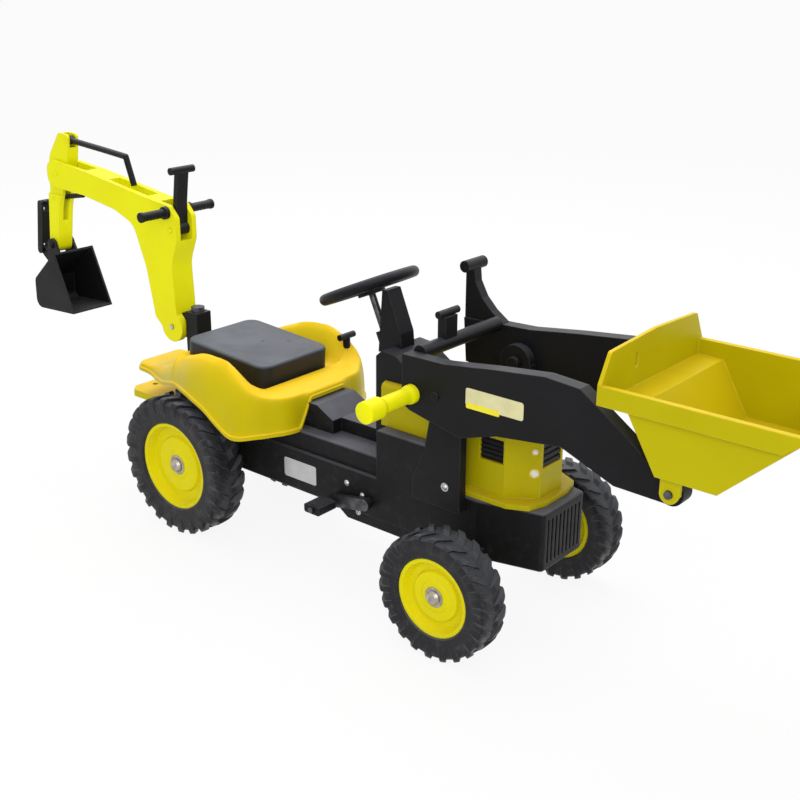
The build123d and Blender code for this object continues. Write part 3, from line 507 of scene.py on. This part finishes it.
def body_moulding():
    """Rows run over the shell: spine, top, shoulder, lip, and back inside 4 mm lower to the spine.

    Shoulder: inset 3 + R (1 - cos a) from the outline, height wall + (top - wall) sin a.
    Top: a straight mix of the shoulder's end and the spine, at the shell's height.
    """
    line, inward = body_outline()
    x, y = line.T
    lip = np.interp(x, lip_x, lip_z) + nose_gap * soft_step(232, 242, x) * soft_step(62, 52, np.abs(y))
    lip = rounded_loop(lip, 3)
    soft = rounded_loop(np.interp(x, soft_x, soft_radius), 6)
    wall = lip + 9
    lean = np.linspace(0, math.pi / 2, 9)[:, None]
    way = np.linspace(0, 1, 26)[1:, None, None]

    def points(plan, height):
        """Plan points and their heights as one array."""
        return np.concatenate([plan, height[..., None]], -1)

    def ring(inset, height):
        """One row of points at an inset from the outline."""
        return points(line + inward * inset, height)[None]

    def skin(extra, drop):
        """Shoulder and top, at an extra inset and a drop."""
        plan = line + inward * (3 + extra + soft * (1 - np.cos(lean)))[..., None]
        top = shell_height(plan[..., 0], plan[..., 1]) - drop
        shoulder = points(plan, wall + (top - wall) * np.sin(lean))
        edge = plan[-1]
        spine = np.stack([np.clip(edge[:, 0], -spine_end, spine_end), np.zeros(len(line))], -1)
        plan = edge * (1 - way) + spine * way
        return [shoulder, points(plan, shell_height(plan[..., 0], plan[..., 1]) - drop)]

    outside = [ring(0, lip), ring(0, lip + 6.5), ring(2.6, lip + 8.2)] + skin(0, 0)
    inside = [ring(4.5, lip), ring(7, lip + 8)] + skin(skin_thick, skin_thick)
    grid = np.concatenate([np.concatenate(outside)[::-1], np.concatenate(inside)]) * mm
    grid = grid + np.array([middle_of("rear_axle")[0], middle_of("hull")[1], 0])
    made = add_piece("body_moulding", grid, "chassis", yellow_body, sharp=50)
    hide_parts("body_shell")


body_moulding()

# %% [markdown]
# ## Treaded tyres
#
# The real tyres are hollow black plastic with chunky bars that slant from each shoulder to the middle,
# a half step apart on the two sides.  Bars could be modelled once and repeated in a ring, but they
# would only lean on the carcass.  Here the carcass and the bars are one surface: a profile of the
# groove and a profile of the bar are mixed from 0 to 1 as the angle goes round the wheel.

# %% Tyres
bar_marks = np.array([0.0, 0.05, 0.25, 0.45, 0.5, 0.55, 0.75, 0.95])     # shares of one step round the tyre
left_bar = np.array([0.0, 1, 1, 1, 0, 0, 0, 0])
right_bar = np.array([0.0, 0, 0, 0, 0, 1, 1, 1])
bar_slant = 0.8          # steps that a bar gains from the middle of the tread to its shoulder


def tread_profile(radius, half, depth):
    """Radius and half width of the groove and of the bar, from the bead up to the middle of the tread."""
    bead = 0.62 * radius
    side = [(bead, 0.80), (bead + 2 * mm, 0.87), (bead + 6 * mm, 0.90), (bead + 10 * mm, 0.885),
            (0.77 * radius, 0.94)]
    groove = [(2.6, 0.95), (1.9, 0.93), (1.3, 0.84), (1.05, 0.72), (1, 0.45), (1, 0.22), (1, 0.06)]
    bar = [(2.75, 1.0), (1.4, 1.0), (0.42, 0.91), (0.1, 0.80), (0, 0.60), (0, 0.26), (1, 0.06)]
    return tuple(np.array(side + [(radius - depths * depth, share) for depths, share in tread]) * (1, half)
                 for tread in (groove, bar))


def treaded_tyre(node, bars, depth, body):
    """Point = centre + r (cos a, sin a) in the wheel's plane + h along the axle.

    r and h go from the groove's profile to the bar's by a share that is 1 on a bar; the angle a gains
    0.8 of a step times h over the half width, which slants the bars.
    """
    low, high = box_of(node)
    centre, half = (low + high) / 2, (high - low)[1] / 2
    radius = (high - low)[2] / 2
    step = 2 * math.pi / bars
    angle = ((np.arange(bars)[:, None] + bar_marks) * step).ravel()
    groove, bar = tread_profile(radius, half, depth)
    halves = []
    for share, side in ((left_bar, 1), (right_bar, -1)):
        on_bar = np.tile(share, bars)[None, :, None]
        ring = groove[:, None, :] * (1 - on_bar) + bar[:, None, :] * on_bar
        turn = angle[None, :] + bar_slant * step * (groove[:, None, 1] / half)
        r, h = ring[..., 0], side * ring[..., 1]
        halves.append(centre + np.stack([r * np.cos(turn), h, r * np.sin(turn)], -1))
    grid = np.concatenate([halves[0], halves[1][::-1]])
    made = add_piece("treaded_" + node, grid, body, black_tyre, wrap_rows=True, sharp=28)
    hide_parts(node)


rear_tread, front_tread = (24, 6.8 * mm), (22, 4.8 * mm)          # number of bars and their depth
treaded_tyre("rear_tyre_left", *rear_tread, "rear_wheels")
treaded_tyre("rear_tyre_right", *rear_tread, "rear_wheels")
treaded_tyre("front_tyre_left", *front_tread, "front_wheel_left")
treaded_tyre("front_tyre_right", *front_tread, "front_wheel_right")

# %% [markdown]
# ## Turned pieces: washers, bolts, lamps and grips
#
# A bolt head, a washer and a lamp are all round.  A library of bolts would have to be scaled and placed
# one by one.  Here each piece is a profile of radius and height, turned about an axis, and a row of
# bolts is the same turned shape at several places.  The axis may point anywhere, so two directions
# across it are worked out first.


# %% Turned pieces
askew = (0.31, 0.17, 0.93)          # any direction that no axis on this toy runs along


def turned(profile, places, axis, columns=32):
    """Point = place + r (cos a, sin a) across the axis + h along it; profile holds (r, h) in mm."""
    along = np.array(axis, float) / np.linalg.norm(axis)
    across = np.cross(along, askew)
    across /= np.linalg.norm(across)
    third = np.cross(along, across)
    a = np.arange(columns) * 2 * math.pi / columns
    circle = np.cos(a)[:, None] * across + np.sin(a)[:, None] * third
    radius, height = np.array(profile, float).T * mm
    shape = radius[:, None, None] * circle + height[:, None, None] * along
    return np.asarray(places, float).reshape(-1, 1, 1, 3) + shape


def domed_bolts(name, places, axis, radius, body):
    """Domed screw heads with a round driver hole, each on a thin washer."""
    head = [(0, 0.25), (0.34, 0.25), (0.36, 0.62), (0.55, 0.58), (0.8, 0.42), (0.96, 0.2), (1.0, 0.12),
            (1.3, 0.1), (1.34, 0.0), (0, 0)]
    add_piece(name, turned(np.array(head) * radius, places, axis), body, steel)


# %% [markdown]
# ## Washers and screws
#
# On the real toy a steel washer shows round the cap on each hub, and domed screw heads show on the
# hull and at the foot of the loader's towers.  A washer could be a plain disc with a hole; a turned
# ring has a soft edge as well.  The hull's screws are laid out by their distance from the crank.

# %% Washers on the wheels
hub_reach = 17 * mm          # from the middle of a tyre to the face of its hub
ring_width = 5.5
washers = (("rear_{}_left", "rear_wheels", 1, 19), ("rear_{}_right", "rear_wheels", -1, 19),
           ("front_{}_left", "front_wheel_left", 1, 17), ("front_{}_right", "front_wheel_right", -1, 17))
for wheel, body, out, size in washers:
    hub_face = middle_of(wheel.format("rim"))
    hub_face[1] = middle_of(wheel.format("tyre"))[1] + out * hub_reach
    bore = size - ring_width
    ring = [(bore, 0.05), (bore, 1.4), (size - 1, 1.5), (size, 0.9), (size, 0.05)]
    add_piece(wheel.format("washer"), turned(ring, hub_face, (0, out, 0), 36), body, old_steel,
              wrap_rows=True)

# %% Screws on the hull and the towers
crank_middle = middle_of("crank")
tower_low, tower_high = box_of("tower_right")
hull_marks = [(-52, 20), (-17, 7), (-26, -27)]          # mm forwards of and above the crank
tower_mark = (tower_high[0] - 29 * mm, tower_low[2] + 38 * mm)
hull_bolt, tower_bolt = 4.2, 5.5
for side, out in sides:
    on_hull = [(crank_middle[0] + x * mm, outer_face("hull", out), crank_middle[2] + z * mm)
               for x, z in hull_marks]
    domed_bolts("hull_bolts_" + side, on_hull, (0, out, 0), hull_bolt, "chassis")
    on_tower = [(tower_mark[0], outer_face("tower_" + side, out), tower_mark[1])]
    domed_bolts("tower_bolt_" + side, on_tower, (0, out, 0), tower_bolt, "chassis")

# %% [markdown]
# ## Lamps, hub pad and seat dimples
#
# Small round lamps sit on both slanting cheeks of the hood, each a milky dome in a thin ring.  The
# steering wheel's hub wears a plain yellow pad, and the seat has two little dimples for its fixings.
# All are turned too: only the axis changes, to the slant of the cheek, the steering wheel or the seat.

# %% Lamps
hood_low, hood_high = box_of("hood")
hood_middle = (hood_low[1] + hood_high[1]) / 2
nose_x = box_of("grille")[1][0] + 1 * mm
lens = [(0, 3.2), (0.42, 2.9), (0.74, 1.9), (0.92, 0.8), (1.0, 0.3), (1.0, -0.6), (0, -0.6)]
bezel = [(1.0, -0.6), (1.0, 1.0), (1.2, 1.1), (1.27, 0.5), (1.27, -0.6)]
lamp_sizes = (("low", 51, 7.0), ("high", 87, 5.0))          # mm above the hood's foot, and radius
cheek_run, cheek_width, lamp_back, lamp_out = 32, 46, 8 * mm, 35.6 * mm
for side, out in sides:
    cheek = (cheek_run, out * cheek_width, 0)
    for label, height, size in lamp_sizes:
        spot = (nose_x - lamp_back, hood_middle + out * lamp_out, hood_low[2] + height * mm)
        add_piece(f"lamp_{label}_{side}", turned(np.array(lens) * (size, 1), spot, cheek), "chassis",
                  milky_lens)
        add_piece(f"lamp_ring_{label}_{side}", turned(np.array(bezel) * (size, 1), spot, cheek), "chassis",
                  yellow_body, wrap_rows=True)

# %% Hub pad and seat dimples
steer_tilt = math.radians(24.4)
steer_axis = (-math.sin(steer_tilt), 0, math.cos(steer_tilt))
pad = [(0, 9.4), (9, 9.0), (17, 7.6), (20.5, 5.8), (21, 4.8), (0, 4.8)]
add_piece("hub_pad", turned(pad, middle_of("steering_wheel"), steer_axis, 48), "steering", yellow_digger)
seat_low, seat_high = box_of("seat")
seat_slope = 0.066
dimple = [(0, 0.15), (1.6, 0.2), (2.4, 0.7), (3.4, 0.55), (4.0, 0.05), (0, -0.4)]
seat_marks = np.array([(111, 9), (141, 48)]) * mm          # from the seat's rear edge and middle
seat_spots = [(seat_low[0] + x, hood_middle + y, seat_high[2] - seat_slope * x) for x, y in seat_marks]
add_piece("seat_dimples", turned(dimple, seat_spots, (seat_slope, 0, 1), 20), "chassis", black_plastic)

# %% [markdown]
# ## Grips
#
# The two digger handles are tubes with low finger ridges and a collar at the end, as on a bicycle.
# The loader's yellow handle has a slim waist and a fat end to push on.  All three are plain turning:
# the radius is a formula of the way along the tube, so a ridge is a sine and a waist is a soft step.


# %% Ridged sleeves
collar_start, mouth_end, sleeve_wall = 0.88, 0.07, 1.2


def ridged_sleeve(name, start, length, axis, radius, collar, ridges, body, finish):
    """Radius = r + 0.5 |sin(pi n s)| along the tube, with a collar over the last eighth."""
    s = np.linspace(0, 1, ridges * 6 + 1)
    wave = radius + 0.5 * np.abs(np.sin(math.pi * ridges * s))
    wave = np.where(s > collar_start, collar, wave)
    wave = np.where(s < mouth_end, (collar + radius) / 2, wave)
    outer = np.stack([wave, s * length], -1)
    inner = np.array([(radius - sleeve_wall, length), (radius - sleeve_wall, 0)])
    add_piece(name, turned(np.concatenate([outer, inner]), start, axis, 32), body, finish, wrap_rows=True,
              sharp=45)


# %% The loader's handle
butt_radius, waist_loss, end_gain = 15.5, 2.6, 4.6
handle_gap = 0.3 * mm          # between the handle and the loader's arm
grip_low, grip_high = box_of("loader_grip")
grip_middle = middle_of("loader_grip")
handle_length = ((grip_high - grip_low)[1] - 2 * handle_gap) / mm
s = np.linspace(0, 1, 61)
waist = butt_radius - waist_loss * soft_step(0.06, 0.16, s) + end_gain * soft_step(0.62, 0.72, s)
past_end = ((s - 0.975) / 0.026).clip(0)
rounded_end = np.minimum(1, np.sqrt(np.clip(1 - past_end ** 2, 0, 1)))
handle = np.stack([waist * (0.72 + 0.28 * rounded_end), s * handle_length], -1)
handle = np.concatenate([[(0, 0)], handle, [(0, handle[-1, 1])]])
handle_start = (grip_middle[0], grip_high[1] - handle_gap, grip_middle[2])
loader_handle = add_piece("loader_handle", turned(handle, handle_start, (0, -1, 0), 40), "loader",
                          yellow_digger, sharp=50)
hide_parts("loader_grip")

# %% The digger's grips
grips_x, grips_y, grips_z = middle_of("digger_grips")
sleeve_start, sleeve_length, sleeve_radius, collar_radius = 36 * mm, 51.5, 8.2, 9.6
for side, out in sides:
    start = (grips_x, grips_y + out * sleeve_start, grips_z)
    ridged_sleeve("digger_grip_sleeve_" + side, start, sleeve_length, (0, out, 0), sleeve_radius,
                  collar_radius, 6, "boom", black_plastic)

# %% [markdown]
# ## Caps on the scoop's pin
#
# The scoop hangs on a pin through the end of the dipper, with a black plastic cap on each end of the
# pin.  A cap could be a bevelled cylinder; turning it keeps its dome and its rim in a single profile.

# %% Caps on the scoop's pin
pin_ahead, pin_up = 72 * mm, 5 * mm          # from the scoop's tail and from the lowest pin's underside
cap_x = box_of("digging_bucket")[0][0] + pin_ahead
cap_z = box_of("dipper_pins")[0][2] + pin_up
cap_profile = [(0, 2.6), (4, 2.4), (6.6, 1.4), (7, -2.4), (0, -2.4)]
for side, out in sides:
    cap_place = (cap_x, outer_face("dipper_pins", out), cap_z)
    add_piece("scoop_pin_cap_" + side, turned(cap_profile, cap_place, (0, out, 0), 24), "dipper",
              black_plastic)

# %% [markdown]
# ## Stickers
#
# The real toy has a white sticker on its hull and a cream one on each loader arm.  Here they stay
# blank.  A sticker is a rounded rectangle with real thickness, so its edge catches the light; a flat
# patch of colour in the material would have no edge.


# %% Blank stickers
corner_points = 7          # on each rounded corner


def sticker(name, x, z, face, out, thick, corner, body, finish):
    """Outline point at angle t = corner centre of its quarter + corner radius (cos t, sin t).

    Rings run from the middle of the front over the rounded edge to the middle of the back.
    """
    quarter = np.repeat(np.arange(4), corner_points)
    t = (quarter + np.tile(np.linspace(0, 1, corner_points), 4)) * math.pi / 2
    size = np.array([(x[1] - x[0]) / 2, (z[1] - z[0]) / 2])
    signs = np.stack([np.array([1, -1, -1, 1])[quarter], np.array([1, 1, -1, -1])[quarter]], -1)
    outline = signs * (size - corner) + corner * np.stack([np.cos(t), np.sin(t)], -1)
    share = np.array([0, 0.5, 0.99, 1.0, 1.0, 0])[:, None, None]
    flat = share * outline + np.array([(x[0] + x[1]) / 2, (z[0] + z[1]) / 2])
    depth = face + out * np.array([1, 1, 1, 0.6, -0.2, -0.2])[:, None] * thick * np.ones(len(t))
    grid = np.stack([flat[..., 0], depth, flat[..., 1]], -1)
    add_piece(name, grid, body, finish)


# %% Stickers on the hull and the arms
hull_label = ((-203, -125), (-8, 28))          # mm in x and z from the crank
arm_label = ((58, 162), (1, 29))               # mm in x and z from the arms' pins
arm_stripe = ((59, 120), (-3, 6))
vinyl_thick, stripe_thick = 0.5 * mm, 0.8 * mm
label_corner, stripe_corner = 4 * mm, 2 * mm
arm_pins = middle_of("lift_pins")


def beside(point, ranges):
    """Ranges of x and z in metres, from ranges in mm round a point."""
    return [point[axis] + np.array(ends) * mm for axis, ends in zip((0, 2), ranges)]


for side, out in sides:
    hull_face, arm_face = outer_face("hull", out), outer_face("loader_arm_" + side, out)
    sticker("hull_sticker_" + side, *beside(crank_middle, hull_label), hull_face, out, vinyl_thick,
            label_corner, "chassis", white_vinyl)
    sticker("arm_sticker_" + side, *beside(arm_pins, arm_label), arm_face, out, vinyl_thick,
            label_corner, "loader", cream_vinyl)
    sticker("arm_stripe_" + side, *beside(arm_pins, arm_stripe), arm_face, out, stripe_thick,
            stripe_corner, "loader", yellow_vinyl)

# %% [markdown]
# ## Ribbed pads
#
# The pedals have ribs that stop a foot from slipping, and a black louvre fills the opening in each
# side of the hood.  Both are a bar whose thickness waves or saws along its length, so one function
# serves both, with the wave handed in.


# %% Ribbed pads
def ribbed_pad(name, start, along, across, out, width, thickness, body, finish):
    """Section at each step: a rectangle of the width, as high as the thickness there; ends closed."""
    along, across, out = (np.array(v, float) for v in (along, across, out))
    count = len(thickness)
    step = np.linspace(0, 1, count)[:, None, None] * along
    side = np.array([-0.5, -0.5, 0.5, 0.5])[None, :, None] * width * across
    up = np.array([0, 1, 1, 0])[None, :, None] * thickness[:, None, None] * out
    grid = np.array(start) + step + side + up
    ends = [np.repeat(grid[i].mean(0)[None, None], 4, axis=1) for i in (0, -1)]
    add_piece(name, np.concatenate([ends[0], grid, ends[1]]), body, finish)


# %% Pedal ribs and hood louvres
s = np.linspace(0, 1, 41)
rib_count, slat_count = 5, 5
foot_ribs = (0.4 + 1.4 * np.abs(np.sin(rib_count * math.pi * s))) * mm
rib_run, rib_width, rib_sink = 26 * mm, 36 * mm, 0.2 * mm
for side in ("left", "right"):
    low, high = box_of("pedal_" + side)
    x, y = middle_of("pedal_" + side)[:2]
    for label, face, up in (("top", high[2], 1), ("bottom", low[2], -1)):
        ribbed_pad(f"pedal_ribs_{label}_{side}", (x - rib_run / 2, y, face - up * rib_sink), (rib_run, 0, 0),
                   (0, 1, 0), (0, 0, up), rib_width, foot_ribs, "pedal_" + side, black_plastic)

louvres = (1.2 + 3.2 * (s * slat_count % 1)) * mm
louvre_x, louvre_z = nose_x - 71.5 * mm, hood_low[2] + 62.5 * mm
louvre_out, louvre_rise, louvre_width = 56.2 * mm, 39 * mm, 44 * mm
for side, out in sides:
    foot = (louvre_x, hood_middle + out * louvre_out, louvre_z)
    ribbed_pad("hood_louvre_" + side, foot, (0, 0, louvre_rise), (1, 0, 0), (0, out, 0), louvre_width,
               louvres, "chassis", black_plastic)

# %% [markdown]
# ## Floor and light
#
# The toy stands on a plain pale floor.  The floor shows near white to the camera, with a soft
# shadow.  A wide lamp overhead makes the tops of the mouldings shine, as an open sky does, a second
# lamp fills the side that faces the camera, and the world is a plain even grey-white.  A picture of a
# sky round the scene could light it too, but two lamps and a world are easier to balance.


# %% Floor
seen_by = ("Is Camera Ray", "Is Glossy Ray", "Is Transmission Ray")
floor_glow = 0.90


def stage_floor(half=30.0):
    """A very wide floor at height zero, made of one face, which glows for the rays that see it."""
    mesh = bpy.data.meshes.new("floor")
    corners = [(-half, -half, 0), (half, -half, 0), (half, half, 0), (-half, half, 0)]
    mesh.from_pydata(corners, [], [(0, 1, 2, 3)])
    floor = bpy.data.objects.new("floor", mesh)
    scene.collection.objects.link(floor)
    finish = Finish("floor_white")
    diffuse = finish.node("ShaderNodeBsdfDiffuse", {}, {"Color": rgb(0.82, 0.82, 0.82)})
    glow = finish.node("ShaderNodeEmission", {}, {"Color": rgb(1, 1, 1), "Strength": 1.0})
    rays = finish.node("ShaderNodeLightPath")
    camera_ray, glossy_ray, clear_ray = (Value(finish, rays.socket.node.outputs[kind]) for kind in seen_by)
    share = (camera_ray + glossy_ray + clear_ray) * floor_glow
    shader = finish.node("ShaderNodeMixShader", {}, {0: share, 1: diffuse, 2: glow})
    finish.tree.links.new(shader.socket, finish.output.inputs["Surface"])
    mesh.materials.append(finish.material)
    floor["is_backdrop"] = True


stage_floor()


# %% Lamps and world
def area_lamp(name, place, target, size, power):
    """A square soft lamp that faces a point."""
    lamp = bpy.data.lights.new(name, "AREA")
    lamp.shape = "SQUARE"
    lamp.size, lamp.energy = size, power
    holder = bpy.data.objects.new(name, lamp)
    holder.location = place
    holder.rotation_euler = (Vector(target) - Vector(place)).to_track_quat("-Z", "Y").to_euler()
    scene.collection.objects.link(holder)


def even_world(for_lighting, for_viewing):
    """A white world with one strength for the light it sheds and one for the rays that see it."""
    world = bpy.data.worlds.new("studio")
    scene.world = world
    world.use_nodes = True
    sky = world.node_tree
    sky.nodes.clear()
    output = sky.nodes.new("ShaderNodeOutputWorld")
    colour = sky.nodes.new("ShaderNodeBackground")
    colour.inputs["Color"].default_value = rgb(1, 1, 1)
    rays = sky.nodes.new("ShaderNodeLightPath")
    seen = rays.outputs[seen_by[0]]
    for kind in seen_by[1:]:
        total = sky.nodes.new("ShaderNodeMath")
        total.operation = "ADD"
        sky.links.new(seen, total.inputs[0])
        sky.links.new(rays.outputs[kind], total.inputs[1])
        seen = total.outputs[0]
    strength = sky.nodes.new("ShaderNodeMapRange")
    strength.inputs["To Min"].default_value = for_lighting
    strength.inputs["To Max"].default_value = for_viewing
    sky.links.new(seen, strength.inputs["Value"])
    sky.links.new(strength.outputs["Result"], colour.inputs["Strength"])
    sky.links.new(colour.outputs["Background"], output.inputs["Surface"])


toy_middle = (0, 0, 0.3)
area_lamp("sky_lamp", (-1.2, 1.0, 3.2), toy_middle, size=3.0, power=78)
area_lamp("front_lamp", (2.6, -2.6, 2.4), toy_middle, size=2.6, power=62)
even_world(for_lighting=0.72, for_viewing=1.0)
scene.view_settings.view_transform = "Standard"
print("lamps:", [lamp.name for lamp in bpy.data.lights], "world:", scene.world.name)

# %% [markdown]
# ## The box of the shown pieces
#
# The added pieces must stay inside the solid model's box, or the toy would look larger than it is.
# Comparing two pictures would miss a few millimetres, so the box of every shown piece but the floor is
# printed in millimetres.

# %% Print the box of the shown pieces
low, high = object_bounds()
print("visual box in mm:", [round((h - l) / mm) for l, h in zip(low, high)])
